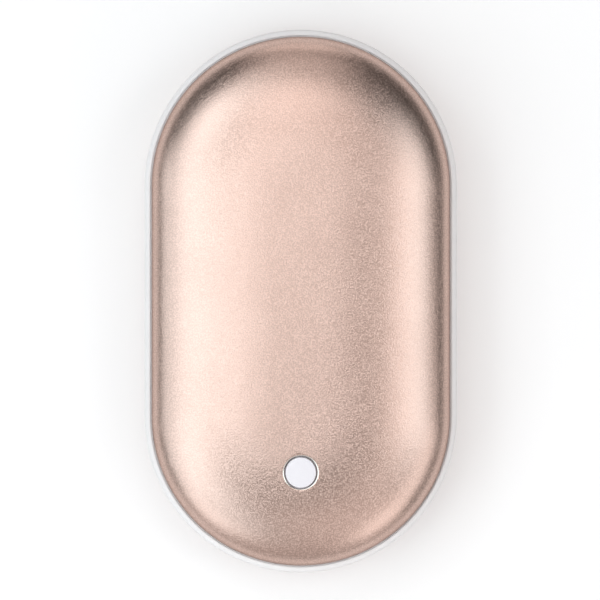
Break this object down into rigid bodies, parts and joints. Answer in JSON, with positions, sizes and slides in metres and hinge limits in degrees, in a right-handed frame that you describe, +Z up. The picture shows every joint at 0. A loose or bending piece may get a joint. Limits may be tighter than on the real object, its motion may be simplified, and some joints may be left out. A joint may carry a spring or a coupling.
{
  "type": "rechargeable hand warmer",
  "caption": "Pebble-shaped pocket hand warmer with two dished metal shells on a plastic mid frame, a push button in the front shell and charging sockets in one end.",
  "frame": {"origin": "Middle of the rear shell's crown, where the case rests on a table.", "axes": "X runs across the case, Y along it away from the sockets, Z up out of the front shell."},
  "size_m": [0.0604, 0.105, 0.025],
  "materials": {
    "shell_metal": "satin",
    "band_plastic": "satin",
    "seal": "matte",
    "button_plastic": "satin",
    "inner_plastic": "satin",
    "socket_plastic": "satin",
    "cell": "satin",
    "washer": "matte",
    "nickel": "satin",
    "steel": "satin",
    "contact": "gloss",
    "board": "satin",
    "chip": "satin",
    "ferrite": "matte",
    "capacitor": "satin",
    "led": "gloss",
    "film": "satin",
    "foam": "matte",
    "red_wire": "satin",
    "black_wire": "satin",
    "white_wire": "satin",
    "sensor_lead": "satin"
  },
  "bodies": {
    "case": {"front_shell": "shell_metal", "rear_shell": "shell_metal", "mid_frame": "band_plastic", "front_seal": "seal", "rear_seal": "seal", "button_bridge": "inner_plastic", "cell_cradle": "inner_plastic", "cell_strap": "inner_plastic", "cell_left": "cell", "cell_right": "cell", "cell_left_washer": "washer", "cell_right_washer": "washer", "positive_strip": "nickel", "negative_strip": "nickel", "battery_lead_red": "red_wire", "battery_lead_black": "black_wire", "main_board": "board", "output_socket_shell": "steel", "output_socket_tongue": "socket_plastic", "output_socket_contact_1": "contact", "output_socket_contact_2": "contact", "output_socket_contact_3": "contact", "output_socket_contact_4": "contact", "charging_socket_shell": "steel", "charging_socket_tongue": "inner_plastic", "switch_body": "chip", "switch_cover": "steel", "switch_dome": "nickel", "boost_inductor": "ferrite", "controller_chip": "chip", "charger_chip": "chip", "heater_mosfet": "chip", "input_capacitor": "capacitor", "output_capacitor": "capacitor", "status_led_left": "led", "status_led_right": "led", "heater_film_front": "film", "heater_film_rear": "film", "foam_pad_upper": "foam", "foam_pad_lower": "foam", "heater_lead_front_1": "white_wire", "heater_lead_front_2": "white_wire", "heater_lead_rear_1": "white_wire", "heater_lead_rear_2": "white_wire", "thermistor": "sensor_lead", "cradle_screw_1": "steel", "cradle_screw_2": "steel", "cradle_screw_3": "steel", "cradle_screw_4": "steel", "strap_screw_1": "steel", "strap_screw_2": "steel", "board_screw_1": "steel", "board_screw_2": "steel", "bridge_screw_1": "steel", "bridge_screw_2": "steel"},
    "button": {"button_cap": "button_plastic"},
    "stem": {"switch_stem": "chip"}
  },
  "joints": [
    {"name": "button_press", "type": "slide", "parent": "case", "child": "button", "axis": [0, 0, -1], "range_m": [0, 0.00025], "stiffness_N_per_m": 2000, "springref_m": -0.0001},
    {"name": "stem_press", "type": "slide", "parent": "case", "child": "stem", "axis": [0, 0, -1], "range_m": [0, 0.00025], "deforming": ["switch_dome"]}
  ],
  "couplings": [
    {"joint": "stem_press", "follows": "button_press", "ratio": 1}
  ]
}
